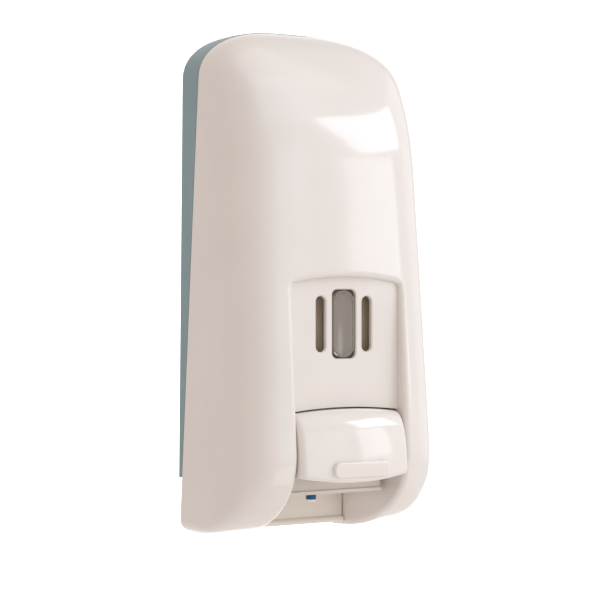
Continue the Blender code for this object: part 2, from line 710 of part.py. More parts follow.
def make_reservoir(material):
    """A hollow bottle with a filler neck on top and an outlet neck below."""
    levels = [BOTTLE_FLOOR, 120.0, BOTTLE_SHOULDER, 194.0, 202.0, 208.0, 212.0, 214.5]
    bottle = loft("reservoir", bottle_rings(0.0, levels), material)
    add(bottle, rod("outlet_neck", 'z', (0.0, NECK_D, 57.5), 11.6, 12.0))
    add(bottle, rod("filler_neck", 'z', (0.0, CAP_D, 210.0), 16.0, 12.0, segments=28))
    inner = [BOTTLE_FLOOR + BOTTLE_WALL, 120.0, BOTTLE_SHOULDER, 194.0, 202.0, 208.0, 211.0, 212.5]
    cut(bottle, loft("bottle_hollow", bottle_rings(BOTTLE_WALL, inner)))
    cut(bottle, rod("filler_bore", 'z', (0.0, CAP_D, 205.0), 13.6, 30.0, segments=28))
    cut(bottle, rod("outlet_bore", 'z', (0.0, NECK_D, 50.0), 9.4, 30.0))
    return smooth(bottle)


def make_outlet_seal(material):
    """A soft grommet between the reservoir's outlet neck and the pump's inlet."""
    profile = [(0.0, 6.9), (0.0, 9.1), (6.5, 9.1), (6.5, 6.9)]
    return smooth(washer("outlet_seal", 'z', (0.0, NECK_D, 58.5), profile, material, 24))


def make_filler_cap(material):
    """A screw cap with a grip rib across it."""
    profile = [(0.0, 19.0), (9.0, 19.0), (10.4, 17.6)]
    cap = turned("filler_cap", 'z', (0.0, CAP_D, CAP_FOOT), profile, material, 32)
    cut(cap, rod("cap_hollow", 'z', (0.0, CAP_D, 205.0), 16.4, 18.0, segments=28))
    add(cap, box("cap_rib", (-15.0, 15.0), (CAP_D - 1.6, CAP_D + 1.6), (224.0, 230.0)))
    return set_origin(smooth(cap), (0.0, CAP_D, CAP_FOOT))


def make_cap_seal(material):
    profile = [(0.0, 12.6), (0.0, 15.6), (0.6, 15.6), (0.6, 12.6)]
    seal = washer("filler_cap_seal", 'z', (0.0, CAP_D, 222.2), profile, material, 28)
    return set_origin(smooth(seal), (0.0, CAP_D, CAP_FOOT))


# ------------------------------------------------------------------------ small metalwork
def make_hinge_pin(name, side, material):
    """A headed pin from the channel's wall into the chassis."""
    length = 10.6
    inner = side * (CHANNEL_HALF + WALL + CLEAR - length)
    shank = HINGE_PIN_RADIUS
    profile = [(0.0, shank), (length, shank), (length, 3.2), (length + 1.2, 3.2)]
    profile = [(side * lift, radius) for lift, radius in profile]
    return smooth(turned(name, 'x', (inner, *HINGE), profile, material, 16))


def make_button_pin(material):
    """The steel rod that the button turns on, held in the channel's two walls."""
    half = CHANNEL_HALF + WALL
    start = (-half, *BUTTON_PIVOT)
    return smooth(rod("button_pin", 'x', start, BUTTON_PIN_RADIUS, 2.0 * half, material, 16))


def make_top_clip(material):
    """A folded spring-steel clip on the back plate that the cover's top snaps over."""
    outline = [(2.8, 236.0), (3.7, 236.0), (3.7, 254.0), (20.0, 254.0), (22.5, 252.0)]
    outline += [(24.0, 252.6), (21.0, 254.9), (2.8, 254.9)]
    return smooth(side_prism("top_clip", outline, -9.0, 9.0, material), 20.0)


# --------------------------------------------------------------------------------- build
def build():
    clear_scene()
    white = (236, 229, 226)
    cover = make_material("cover_plastic", white, 0.22)
    button = make_material("button_plastic", (238, 231, 227), 0.2)
    teal = make_material("back_plastic", (128, 143, 144), 0.4)
    frame = make_material("frame_plastic", (222, 214, 207), 0.35)
    clear = make_material("lens_clear", (150, 144, 138), 0.08, 0.0, 0.45)
    rubber = make_material("black_rubber", (38, 38, 40), 0.7)
    steel = make_material("stainless_steel", (176, 178, 180), 0.28, 1.0)
    blue = make_material("nozzle_blue", (16, 77, 106), 0.35)
    natural = make_material("bottle_natural", (214, 214, 208), 0.4)
    grey = make_material("pump_grey", (150, 152, 154), 0.4)

    make_back_plate(teal)
    make_chassis(frame)
    for index, (x, z) in enumerate(SCREW_PLACES, start=1):
        make_screw("chassis_screw_%d" % index, x, z, steel)
    make_cover(cover)
    make_lens(clear)
    make_lens_gasket(rubber)
    make_button(button)
    make_button_pin(steel)
    make_hinge_pin("hinge_pin_left", -1, steel)
    make_hinge_pin("hinge_pin_right", 1, steel)
    make_pump_body(natural)
    make_pump_gland(grey)
    make_piston(natural)
    make_piston_seal(rubber)
    make_spring("return_spring", (0.0, 20.3, PUMP_Z), 23.4, 4.6, 0.5, 6, steel)
    make_ball("inlet_ball", (0.0, NECK_D, PUMP_Z + 14.4), 3.0, steel)
    make_nozzle(blue)
    make_reservoir(natural)
    make_outlet_seal(rubber)
    make_filler_cap(grey)
    make_cap_seal(rubber)
    make_top_clip(steel)


build()
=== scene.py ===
"""Looks of the wall mounted soap dispenser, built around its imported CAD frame.

Lengths inside this file are in millimetres: x runs to the right, d is the distance from
the wall, and z is the height above the foot line. world() turns them into metres in the
frame. Each moulding is made again with fine surfaces and rounded edges, in its CAD place.
"""
import json
import math

import bmesh
import bpy
import numpy as np
from mathutils import Matrix, Vector

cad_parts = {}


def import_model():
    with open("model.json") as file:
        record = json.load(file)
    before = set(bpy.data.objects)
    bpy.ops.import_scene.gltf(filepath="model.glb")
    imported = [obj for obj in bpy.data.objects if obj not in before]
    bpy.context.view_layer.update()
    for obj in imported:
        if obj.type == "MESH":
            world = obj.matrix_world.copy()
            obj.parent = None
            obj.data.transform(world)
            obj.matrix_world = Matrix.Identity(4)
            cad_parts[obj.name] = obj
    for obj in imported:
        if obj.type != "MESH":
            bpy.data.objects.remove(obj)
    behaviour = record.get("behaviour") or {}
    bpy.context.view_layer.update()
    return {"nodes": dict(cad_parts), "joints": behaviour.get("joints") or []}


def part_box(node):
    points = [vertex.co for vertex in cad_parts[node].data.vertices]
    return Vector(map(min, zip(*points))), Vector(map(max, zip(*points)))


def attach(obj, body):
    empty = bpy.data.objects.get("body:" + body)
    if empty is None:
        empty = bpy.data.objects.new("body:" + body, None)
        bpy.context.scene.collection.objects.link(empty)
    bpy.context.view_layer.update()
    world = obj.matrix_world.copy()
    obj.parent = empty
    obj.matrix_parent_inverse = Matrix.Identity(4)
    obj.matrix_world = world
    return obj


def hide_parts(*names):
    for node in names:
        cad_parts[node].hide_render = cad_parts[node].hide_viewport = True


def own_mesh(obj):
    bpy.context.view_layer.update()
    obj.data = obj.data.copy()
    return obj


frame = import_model()

# ------------------------------------------------------------- sizes taken from the frame
ORIGIN_HEIGHT = 140.0        # height of the frame's origin above the foot line


def height(metres):
    """A frame height in metres as millimetres above the foot line."""
    return metres * 1000.0 + ORIGIN_HEIGHT


def find_joint(name):
    """A joint's entry in the frame."""
    return next(joint for joint in frame["joints"] if joint["name"] == name)


def joint_place(name):
    """The (d, z) place of a joint's axis."""
    place = find_joint(name)["pos_m"]
    return (-1000.0 * place[1], height(place[2]))


nozzle_low, nozzle_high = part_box("nozzle")
spring_low, spring_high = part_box("return_spring")
BODY_TOP = height(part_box("back_plate")[1].z)
BODY_FOOT = height(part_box("front_cover")[0].z)
NOZZLE_D = -500.0 * (nozzle_low.y + nozzle_high.y)
NOZZLE_TIP = height(nozzle_low.z)
NOZZLE_TOP = height(nozzle_high.z)
SPRING_BACK = -1000.0 * spring_high.y
SPRING_FRONT = -1000.0 * spring_low.y
HINGE = joint_place("cover_hinge")
BUTTON_PIVOT = joint_place("button_pivot")

# ------------------------------------------------------------- sizes the frame doesn't give
HALF_WIDTH_FOOT = 62.5       # half width of the body at the foot line
HALF_WIDTH_TOP = 59.8        # and near the top
TOP_CORNER = 29.5            # height of the rounding seen from the front
TOP_CORNER_POWER = 2.3
FRONT_DEPTH = 78.5           # depth of the front at its centre line, at FRONT_LEVEL
FRONT_LEVEL = 60.0
FRONT_LEAN = 0.069           # the front leans back this much per mm of height
DOME_HEIGHT = 82.0           # height of the rounding seen from the side
DOME_POWER = 2.27
CHIN_HEIGHT = 47.0           # height below which the underside curves back
CHIN_POWER = 2.15
FOOT_CORNER = 9.0            # height of the rounding along the foot of each side
FOOT_CORNER_INSET = 12.0
SECTION_POWER_FOOT = 7.4     # squareness of the cross-section at the foot
SECTION_POWER_TOP = 4.2      # and at the top
FRONT_BOW = 3.0              # how far the front falls back from centre to corner
SIDE_DRAFT = 0.02
WALL = 2.4                   # thickness of the cover
PLATE_WALL = 2.2             # and of the back plate

RIM_DEPTH = 1.5              # distance of the cover's rear rim from the wall at the foot
RIM_SLOPE = 0.065            # growth of that distance per mm of height
RIM_GAP = 0.5                # gap between the cover's rim and the back plate
HAIR = 0.02                  # overlap that keeps a cutter off the face beside it

CHANNEL_HALF = 34.2          # half width of the recess and of the channel below it
PANEL_DEPTH = 68.6           # distance of the recessed panel from the wall
PANEL_TOP = 133.7            # height of the recess at its sides
PANEL_FOOT = 66.0            # lower edge of the panel at its sides
ARCH_RISE = 3.2              # rise of the recess's arched top at the centre
FOOT_RISE = 2.1              # rise of the panel's arched lower edge
CORNER_RADIUS = 3.0          # of the recess's upper corners
RIM_RADIUS = 3.2             # radius of the edge that rolls into the recess
RIM_STEPS = 8
RIM_WALL_LIMIT = 6.0         # the channel's edge stays square this near to the wall
SIDE_COLUMNS = 44            # columns of the skin beside the recess
FRONT_COLUMNS = 36           # and across half of it
SIGHT_HEIGHT = 112.0         # height of the middle of the window and of the slots
WINDOW_SIZE = (14.8, 36.6)
SLOT_SIZE = (6.1, 29.6)
SLOT_X = 14.5

BUTTON_PIN_RADIUS = 1.5
BUTTON_HALF = 33.6
BUTTON_TOP = 65.3            # upper edge of the button at its sides
BUTTON_FOOT = 32.5           # lower edge of the button at its sides
BUTTON_SAG = 3.0             # the lower edge hangs this much lower at the centre
BUTTON_PROUD = 0.9           # its upper edge stands this far in front of the panel
BUTTON_SWELL = 12.5          # how far the face swells out below its upper edge
BUTTON_SHOULDER = 27.0       # height over which it swells
BUTTON_POWER = 3.2
BUTTON_LEAN = 0.1            # further growth per mm of height
BUTTON_SIDE_FALL = 4.0       # how far the face falls back from centre to side
BUTTON_EDGE = 3.0            # radius of its side and lower edges
BUTTON_WALL = 2.2
GRIP_SIZE = (34.0, 8.2)
GRIP_HEIGHT = 36.4           # height of the middle of the grip bar

PUMP_Z = 38.0                # height of the pump's axis
PUMP_RADIUS = 9.5
PISTON_FACE = 59.0           # distance of the piston's push disc from the wall, at rest
NECK_D = 30.0                # distance of the reservoir's neck from the wall
CLEAR = 0.3                  # gap between neighbouring pieces
SPRING_RADIUS = 4.6
SPRING_WIRE = 0.5            # half the thickness of its wire

HINGE_PIN_RADIUS = 1.5
HEEL_RADIUS = 12.1           # the cover's heel is round about the hinge
CHEEK_BACK = 5.0             # distance of the channel walls' rear edges from the wall
CHEEK_TOP = 61.0             # height of their upper edges

FRAME_BACK = 5.8             # distance of the inner frame's rear face from the wall
SHEET = 2.4                  # thickness of its walls
APRON_HALF = 33.6
BOX_HALF = 31.0              # half width of the pump box
BOX_FRONT = 57.0
SCREW_PLACES = ((-50.5, 74.0), (50.5, 74.0), (-24.0, 36.0), (24.0, 36.0))
WALL_HOLES = ((-44.0, 98.0), (44.0, 98.0), (-40.0, 232.0), (40.0, 232.0))


# ------------------------------------------------------------------------------- helpers
def world(x, d, z):
    """A point in the frame, in metres."""
    return Vector((x, -d, z - ORIGIN_HEIGHT)) * 0.001


def linear(channel):
    """One 0..255 display value as a linear colour value."""
    c = channel / 255.0
    return c / 12.92 if c <= 0.04045 else ((c + 0.055) / 1.055) ** 2.4


def make_object(name, points, faces):
    """A mesh object from points in millimetres, with its faces turned outward."""
    mesh = bpy.data.meshes.new(name)
    mesh.from_pydata([world(*p) for p in points], [], faces)
    bm = bmesh.new()
    bm.from_mesh(mesh)
    bmesh.ops.remove_doubles(bm, verts=bm.verts, dist=1e-7)
    bmesh.ops.recalc_face_normals(bm, faces=bm.faces)
    bm.to_mesh(mesh)
    bm.free()
    obj = bpy.data.objects.new(name, mesh)
    bpy.context.scene.collection.objects.link(obj)
    return obj


def apply_modifiers(obj):
    graph = bpy.context.evaluated_depsgraph_get()
    result = bpy.data.meshes.new_from_object(obj.evaluated_get(graph))
    obj.modifiers.clear()
    obj.data = result


def combine(obj, tool, operation):
    """Apply one boolean with a tool object, and remove the tool."""
    modifier = obj.modifiers.new("cut", 'BOOLEAN')
    modifier.operation = operation
    modifier.solver = 'MANIFOLD'
    modifier.object = tool
    apply_modifiers(obj)
    bpy.data.objects.remove(tool, do_unlink=True)


def cut(obj, *tools):
    for tool in tools:
        combine(obj, tool, 'DIFFERENCE')
    return obj


def add(obj, *tools):
    for tool in tools:
        combine(obj, tool, 'UNION')
    return obj


def smooth(obj, degrees=35.0):
    """Shade smooth, except over edges sharper than the angle."""
    obj.data.shade_smooth()
    obj.data.set_sharp_from_angle(angle=math.radians(degrees))
    return obj


def soften(obj, width):
    """Round the sharp edges by width, and shade the rest smooth."""
    smooth(obj)
    bevel = obj.modifiers.new("edge", 'BEVEL')
    bevel.width = width * 0.001
    bevel.segments = 2
    bevel.limit_method = 'ANGLE'
    bevel.angle_limit = math.radians(35.0)
    bevel.harden_normals = True
    return obj


def loft(name, rings):
    """A closed solid through rings of equal length, with a cap at each end."""
    count = len(rings[0])
    points = [p for ring in rings for p in ring]
    faces = [list(range(count))]
    for row in range(len(rings) - 1):
        for i in range(count):
            j = (i + 1) % count
            a = row * count
            b = a + count
            faces.append([a + i, a + j, b + j, b + i])
    last = (len(rings) - 1) * count
    faces.append(list(range(last, last + count)))
    return make_object(name, points, faces)


def prism(name, outline, d0, d1):
    """An outline of (x, z) points, extruded from distance d0 to d1."""
    return loft(name, [[(x, d, z) for x, z in outline] for d in (d0, d1)])


def side_prism(name, outline, x0, x1):
    """An outline of (d, z) points, extruded from x0 to x1."""
    return loft(name, [[(x, d, z) for d, z in outline] for x in (x0, x1)])


def box(name, x_range, d_range, z_range):
    x0, x1 = x_range
    z0, z1 = z_range
    return prism(name, [(x0, z0), (x1, z0), (x1, z1), (x0, z1)], *d_range)


def along(axis, place, radial, lift):
    """A point at an offset across an axis through place, and lift along it."""
    x, d, z = place
    c, s = radial
    if axis == 'x':
        return (x + lift, d + c, z + s)
    if axis == 'd':
        return (x + c, d + lift, z + s)
    return (x + c, d + s, z + lift)


def washer(name, place, profile):
    """A closed ring round an upright axis: profile is a loop of (lift, radius) pairs."""
    count = len(profile)
    segments = 64
    points = []
    for i in range(segments):
        angle = 2.0 * math.pi * (i + 0.5) / segments
        for lift, radius in profile:
            radial = (radius * math.cos(angle), radius * math.sin(angle))
            points.append(along('z', place, radial, lift))
    faces = []
    for i in range(segments):
        j = (i + 1) % segments
        for k in range(count):
            n = (k + 1) % count
            faces.append([i * count + k, i * count + n, j * count + n, j * count + k])
    return make_object(name, points, faces)


def rod(name, axis, place, radius, length):
    """A round bar along an axis, starting at place."""
    segments = 48
    rings = []
    for lift in (0.0, length):
        ring = []
        for i in range(segments):
            angle = 2.0 * math.pi * (i + 0.5) / segments
            radial = (radius * math.cos(angle), radius * math.sin(angle))
            ring.append(along(axis, place, radial, lift))
        rings.append(ring)
    return loft(name, rings)


def rounded_outline(cx, cz, width, depth, radius, steps=8):
    """A rectangle with round corners, as (x, z) points."""
    outline = []
    for sx, sz, start in ((1, 1, 0.0), (-1, 1, 90.0), (-1, -1, 180.0), (1, -1, 270.0)):
        ox = cx + sx * (width / 2.0 - radius)
        oz = cz + sz * (depth / 2.0 - radius)
        for k in range(steps + 1):
            angle = math.radians(start + 90.0 * k / steps)
            outline.append((ox + radius * math.cos(angle), oz + radius * math.sin(angle)))
    return outline


def arch(x, half, rise):
    """Height of a flat arch over its springing, which is at half on either side."""
    return rise * np.maximum(0.0, 1.0 - (x / half) ** 2)


def arched_outline(half, foot, side_top, rise, radius=0.0):
    """A panel outline with a straight foot and an arched top, whose corners may be round."""
    columns = 48
    steps = 8
    reach = half - radius
    lift = arch(reach, half, rise)
    outline = [(-half, foot), (half, foot)]
    if not radius:
        for k in range(columns + 1):
            x = half * (1.0 - 2.0 * k / columns)
            outline.append((x, side_top + arch(x, half, rise)))
        return outline
    corner = []
    for k in range(steps + 1):
        angle = math.radians(90.0 * k / steps)
        z = side_top - radius + lift * k / steps + radius * math.sin(angle)
        corner.append((reach + radius * math.cos(angle), z))
    outline += corner
    for k in range(1, columns):
        x = reach * (1.0 - 2.0 * k / columns)
        outline.append((x, side_top + arch(x, half, rise)))
    return outline + [(-x, z) for x, z in reversed(corner)]


# ------------------------------------------------------------------------ the body's form
def fall(u, power):
    """A quarter of a superellipse: 1 at u = 0 and 0 at u = 1."""
    u = np.clip(u, 0.0, 1.0)
    return (1.0 - u ** power) ** (1.0 / power)


def half_width(z, inset):
    width = HALF_WIDTH_FOOT + (HALF_WIDTH_TOP - HALF_WIDTH_FOOT) * z / BODY_TOP - inset
    top = (z - (BODY_TOP - TOP_CORNER)) / (TOP_CORNER - inset)
    foot = (BODY_FOOT + FOOT_CORNER - z) / (FOOT_CORNER - inset)
    return width * fall(top, TOP_CORNER_POWER) - FOOT_CORNER_INSET * (1.0 - fall(foot, 2.0))


def front_depth(z, inset):
    depth = FRONT_DEPTH - FRONT_LEAN * (z - FRONT_LEVEL) - inset
    dome = (z - (BODY_TOP - DOME_HEIGHT)) / (DOME_HEIGHT - inset)
    chin = (CHIN_HEIGHT - z) / (CHIN_HEIGHT - BODY_FOOT - inset)
    return depth * fall(dome, DOME_POWER) * fall(chin, CHIN_POWER)


def surface(angle, z, inset):
    """The body's surface at an angle round its section and at a height, as (x, d)."""
    power = SECTION_POWER_FOOT + (SECTION_POWER_TOP - SECTION_POWER_FOOT) * z / BODY_TOP
    c = np.cos(angle)
    s = np.sin(angle)
    reach = (np.abs(c) ** power + np.abs(s) ** power) ** (1.0 / power)
    c = c / reach
    s = s / reach
    d = s * front_depth(z, inset) * (1.0 - FRONT_BOW * c * c / FRONT_DEPTH)
    return half_width(z, inset) * c * (1.0 - SIDE_DRAFT * d / FRONT_DEPTH), d


def body_levels(inset, foot_steps, middle, dome_steps, top_steps):
    """Heights for the body's rings, closer together where the form curves."""
    foot = BODY_FOOT + inset
    top = BODY_TOP - inset
    dome = BODY_TOP - DOME_HEIGHT
    corner = BODY_TOP - TOP_CORNER
    levels = []
    for k in range(foot_steps):
        levels.append(foot + (CHIN_HEIGHT - foot)
                      * (1.0 - math.cos(0.5 * math.pi * (k + 0.12) / foot_steps)))
    levels += middle
    for k in range(dome_steps):
        levels.append(dome + (corner - dome) * math.sin(0.5 * math.pi * k / dome_steps))
    for k in range(top_steps):
        levels.append(corner + (top - corner) * math.sin(0.496 * math.pi * k / (top_steps - 1)))
    return levels


def body_solid(name, inset, angles, levels):
    """The body's whole form, drawn in by inset."""
    rings = []
    for z in levels:
        x, d = surface(angles, z, inset)
        rings.append([(float(a), float(b), z) for a, b in zip(x, d)])
    return loft(name, rings)


def rim_depth(z):
    """Distance of the cover's rear rim from the wall."""
    return RIM_DEPTH + RIM_SLOPE * z


def inner_solid(name, inset):
    """The body's form for a hollow, in coarser steps than its skin."""
    angles = np.linspace(0.0, math.pi, 121)
    middle = list(np.arange(CHIN_HEIGHT, BODY_TOP - DOME_HEIGHT - 2.0, 6.0))
    return body_solid(name, inset, angles, body_levels(inset, 24, middle, 20, 24))


# ----------------------------------------------------------------- the cover's outer skin
def rim_offsets():
    """Distances from the recess's outline, close together where its rim turns in."""
    angles = [0.5 * math.pi * k / RIM_STEPS for k in range(RIM_STEPS + 1)]
    return [RIM_RADIUS * (1.0 - math.sin(angle)) for angle in angles]


def outline_distance(x, z):
    """Distance outside the outline of the recess and channel, negative inside."""
    top = PANEL_TOP + arch(x, CHANNEL_HALF, ARCH_RISE)
    a = np.abs(x) - CHANNEL_HALF + CORNER_RADIUS
    b = z - top + CORNER_RADIUS
    outside = np.hypot(np.maximum(a, 0.0), np.maximum(b, 0.0))
    return outside + np.minimum(np.maximum(a, b), 0.0) - CORNER_RADIUS


def column_angles(z):
    """Angles round a section, with columns that follow the recess's rim."""
    table = np.linspace(0.0, 0.5 * math.pi, 4001)
    xs = surface(table, z, 0.0)[0]
    lines = [CHANNEL_HALF + o for o in rim_offsets()]
    outer = float(np.interp(-lines[0], -xs, table))
    side = np.linspace(0.0, outer, SIDE_COLUMNS, endpoint=False)
    rim = [float(np.interp(-x, -xs, table)) for x in lines]
    front = np.linspace(rim[-1], 0.5 * math.pi, FRONT_COLUMNS + 1)[1:]
    half = np.concatenate([side, rim, front])
    return np.concatenate([half, math.pi - half[-2::-1]])


def ease(share):
    """A smooth step from 0 to 1."""
    share = min(max(share, 0.0), 1.0)
    return share * share * (3.0 - 2.0 * share)


def roll_rim(x, d, z, slope):
    """Sink a ring's points near the recess's outline, square to the skin, to round its edge."""
    gap = np.clip(RIM_RADIUS - outline_distance(x, z), 0.0, RIM_RADIUS)
    dip = RIM_RADIUS - np.sqrt(RIM_RADIUS ** 2 - gap ** 2)
    dip *= d > RIM_WALL_LIMIT
    length = np.sqrt(1.0 + slope * slope)
    return d - dip / length, z + dip * slope / length


def skin_rings():
    """The cover's outer skin. Its rings rise to the recess's arch where they pass it."""
    base = column_angles(100.0)
    even = np.linspace(0.0, math.pi, len(base))
    arch_rows = [PANEL_TOP + offset for offset in reversed(rim_offsets())]
    middle = list(np.arange(CHIN_HEIGHT, PANEL_TOP - 1.0, 2.2))
    middle += arch_rows + list(np.arange(arch_rows[-1] + 1.6, BODY_TOP - DOME_HEIGHT - 0.5, 2.4))
    rings = []
    step = 0.05
    for level in body_levels(0.0, 44, middle, 34, 30):
        share = ease((level - 165.0) / 60.0)
        angles = column_angles(min(level, 200.0)) * (1.0 - share) + even * share
        x = surface(angles, level, 0.0)[0]
        near = ease(1.0 - min(abs(level - PANEL_TOP - 1.0) / 28.0, 1.0))
        if PANEL_TOP <= level <= PANEL_TOP + RIM_RADIUS:
            near = 1.0
        z = level + near * arch(x, CHANNEL_HALF, ARCH_RISE)
        x, d = surface(angles, z, 0.0)
        up = surface(angles, z + step, 0.0)[1]
        down = surface(angles, z - step, 0.0)[1]
        d, z = roll_rim(x, d, z, (up - down) / (2.0 * step))
        rings.append([(float(a), float(b), float(c)) for a, b, c in zip(x, d, z)])
    return rings


def rim_cutter():
    """Everything behind the plane of the cover's rear rim."""
    low, high = -60.0, 330.0
    outline = [(-60.0, low), (rim_depth(low), low), (rim_depth(high), high), (-60.0, high)]
    return side_prism("rim_cutter", outline, -90.0, 90.0)


def sight_cutter(x, size, radius, chamfer, steps):
    """A cutter for an opening in the panel, whose mouth is chamfered at the panel's face."""
    rings = []
    for d, grow in ((4.0, chamfer + 4.0), (0.0, chamfer), (-chamfer, 0.0), (-6.0, 0.0)):
        wide, tall = size[0] + 2 * grow, size[1] + 2 * grow
        outline = rounded_outline(x, SIGHT_HEIGHT, wide, tall, radius + grow, steps)
        rings.append([(px, PANEL_DEPTH + d, pz) for px, pz in outline])
    return loft("sight_cutter", rings)


def sight_cutters():
    """The window for the lens and the slot on each side of it."""
    yield sight_cutter(0.0, WINDOW_SIZE, 3.0, 0.5, 10)
    for side in (-1, 1):
        yield sight_cutter(side * SLOT_X, SLOT_SIZE, SLOT_SIZE[0] / 2 - 0.01, 0.6, 12)


def cross_hole(place, radius, x_range):
    """A round cutter along x through a (d, z) place."""
    start = (x_range[0], place[0], place[1])
    return rod("hole_cutter", 'x', start, radius, x_range[1] - x_range[0])


def heel_cutter():
    """What would strike the wall, behind and below the hinge, as the cover opens."""
    outline = [(-60.0, HINGE[1]), (-60.0, -60.0), (HINGE[0], -60.0)]
    for k in range(33):
        angle = math.radians(270.0 - 90.0 * k / 32)
        outline.append((HINGE[0] + HEEL_RADIUS * math.cos(angle),
                        HINGE[1] + HEEL_RADIUS * math.sin(angle)))
    return side_prism("heel_cutter", outline, -90.0, 90.0)


def make_cover():
    """The domed moulding, with its recess, channel, window, slots and hinge holes."""
    half = CHANNEL_HALF + WALL
    edge = CHANNEL_HALF + HAIR
    cavity = inner_solid("cavity", WALL)
    pan = arched_outline(half, PANEL_FOOT - 30.0, PANEL_TOP + WALL, ARCH_RISE, 4.0)
    cut(cavity, prism("pan_block", pan, PANEL_DEPTH - WALL, 130.0))
    cut(cavity, box("cheek_block", (-half, half), (CHEEK_BACK, 130.0), (-40.0, CHEEK_TOP)))
    cover = loft("cover_moulding", skin_rings())
    recess = arched_outline(edge, PANEL_FOOT - 6.0, PANEL_TOP + HAIR, ARCH_RISE, CORNER_RADIUS)
    channel = arched_outline(edge, -30.0, PANEL_FOOT, FOOT_RISE)
    cut(cover, rim_cutter(), cavity)
    cut(cover, prism("recess_cutter", recess, PANEL_DEPTH, 130.0))
    cut(cover, prism("channel_cutter", channel, -30.0, 130.0))
    cut(cover, heel_cutter(), *sight_cutters())
    for side in (-1, 1):
        reach = sorted((side * (CHANNEL_HALF - 2.0), side * (half + 2.0)))
        cut(cover, cross_hole(HINGE, HINGE_PIN_RADIUS + 0.6, reach))
        cut(cover, cross_hole(BUTTON_PIVOT, BUTTON_PIN_RADIUS + CLEAR, reach))
    return smooth(cover, 32.0)


def make_lens():
    """A clear pill with a bevelled rim, proud of a thin flange behind the panel."""
    back = PANEL_DEPTH - WALL
    width, tall = WINDOW_SIZE
    flange = rounded_outline(0.0, SIGHT_HEIGHT, width + 6.0, tall + 6.0, 4.0)
    lens = prism("sight_glass", flange, back - 3.0, back - 1.4)
    steps = ((back - 2.0, 0.5), (PANEL_DEPTH - 1.3, 0.5), (PANEL_DEPTH - 0.3, 0.7),
             (PANEL_DEPTH + 0.1, 1.2), (PANEL_DEPTH + 0.1, 1.7), (PANEL_DEPTH - 0.4, 2.2),
             (PANEL_DEPTH - 0.5, 3.0))
    rings = []
    for d, inset in steps:
        outline = rounded_outline(0.0, SIGHT_HEIGHT, width - 2 * inset, tall - 2 * inset,
                                  width / 2 - inset - 0.3, 14)
        rings.append([(x, d, z) for x, z in outline])
    add(lens, loft("lens_front", rings))
    return smooth(lens, 25.0)


def make_lens_gasket():
    """A flat rubber ring between the lens's flange and the panel."""
    back = PANEL_DEPTH - WALL
    width, tall = WINDOW_SIZE
    outer = rounded_outline(0.0, SIGHT_HEIGHT, width + 6.0, tall + 6.0, 4.0)
    inner = rounded_outline(0.0, SIGHT_HEIGHT, width + 1.0, tall + 1.0, 3.2)
    gasket = prism("sight_gasket", outer, back - 1.1, back - CLEAR)
    return smooth(cut(gasket, prism("gasket_cutter", inner, back - 5.0, back + 5.0)))


# ------------------------------------------------------------------------------- button
def bow(x, half):
    """1 at the centre line and 0 at the sides."""
    return 1.0 - (x / half) ** 2


def button_front(x, z):
    """Distance of the button's face from the wall, before its edges are rounded."""
    below = BUTTON_TOP + FOOT_RISE * bow(x, BUTTON_HALF) - z
    swell = BUTTON_SWELL * float(fall(1.0 - below / BUTTON_SHOULDER, BUTTON_POWER))
    side = BUTTON_SIDE_FALL * (x / BUTTON_HALF) ** 2
    return PANEL_DEPTH + BUTTON_PROUD + swell + BUTTON_LEAN * below - side


def edge_dip(side_gap, foot_gap):
    """How far a rounded edge falls back at a distance from the side and from the foot."""
    a = max(BUTTON_EDGE - side_gap, 0.0)
    b = max(BUTTON_EDGE - foot_gap, 0.0)
    reach = min(math.hypot(a, b), BUTTON_EDGE)
    return BUTTON_EDGE - math.sqrt(BUTTON_EDGE ** 2 - reach ** 2)


def edge_steps(length, start_steps, middle_steps, end_steps):
    """Positions from 0 to length, closer together over the rounded ends."""
    steps = []
    for k in range(start_steps):
        steps.append(BUTTON_EDGE * (1.0 - math.cos(0.5 * math.pi * k / start_steps)))
    for k in range(middle_steps + 1):
        steps.append(BUTTON_EDGE + (length - 2.0 * BUTTON_EDGE) * k / middle_steps)
    for k in range(1, end_steps + 1):
        angle = 0.5 * math.pi * k / end_steps
        steps.append(length - BUTTON_EDGE * (1.0 - math.sin(angle)))
    return steps


def button_rings(inset, back, columns, rows):
    """Rings from the button's foot to its arched top; each is a slice at one height."""
    half = BUTTON_HALF - inset
    across = [half - step for step in edge_steps(2.0 * half, *columns)]
    tall = BUTTON_TOP - BUTTON_FOOT - 2.0 * inset
    rings = []
    for step in edge_steps(tall, *rows):
        front = []
        rear = []
        for x in across:
            foot = BUTTON_FOOT + inset - BUTTON_SAG * bow(x, half)
            top = BUTTON_TOP - inset + FOOT_RISE * bow(x, half)
            z = foot + (top - foot) * step / tall
            dip = edge_dip(half - abs(x), z - foot)
            front.append((x, button_front(x, z) - inset - dip, z))
            rear.append((x, back, z))
        rings.append(front + rear[::-1])
    return rings


def push_nose():
    """The round-ended bar inside the button that bears on the pump's piston."""
    radius = 3.0
    start = PISTON_FACE + CLEAR + radius
    outline = [(start, PUMP_Z + radius), (84.0, PUMP_Z + radius), (84.0, PUMP_Z - radius)]
    for k in range(17):
        angle = math.radians(270.0 - 180.0 * k / 17)
        outline.append((start + radius * math.cos(angle), PUMP_Z + radius * math.sin(angle)))
    return side_prism("push_nose", outline, -5.0, 5.0)


def grip_bar():
    """The raised pill on the button's face, with a rounded front edge."""
    face = button_front(0.0, GRIP_HEIGHT)
    rings = []
    for d, inset in ((-3.0, 0.0), (0.5, 0.0), (1.0, 0.12), (1.3, 0.4), (1.45, 0.8), (1.5, 1.3)):
        wide, tall = GRIP_SIZE[0] - 2 * inset, GRIP_SIZE[1] - 2 * inset
        outline = rounded_outline(0.0, GRIP_HEIGHT, wide, tall, 3.4 - inset, 10)
        rings.append([(x, face + d, z) for x, z in outline])
    return loft("grip_bar", rings)


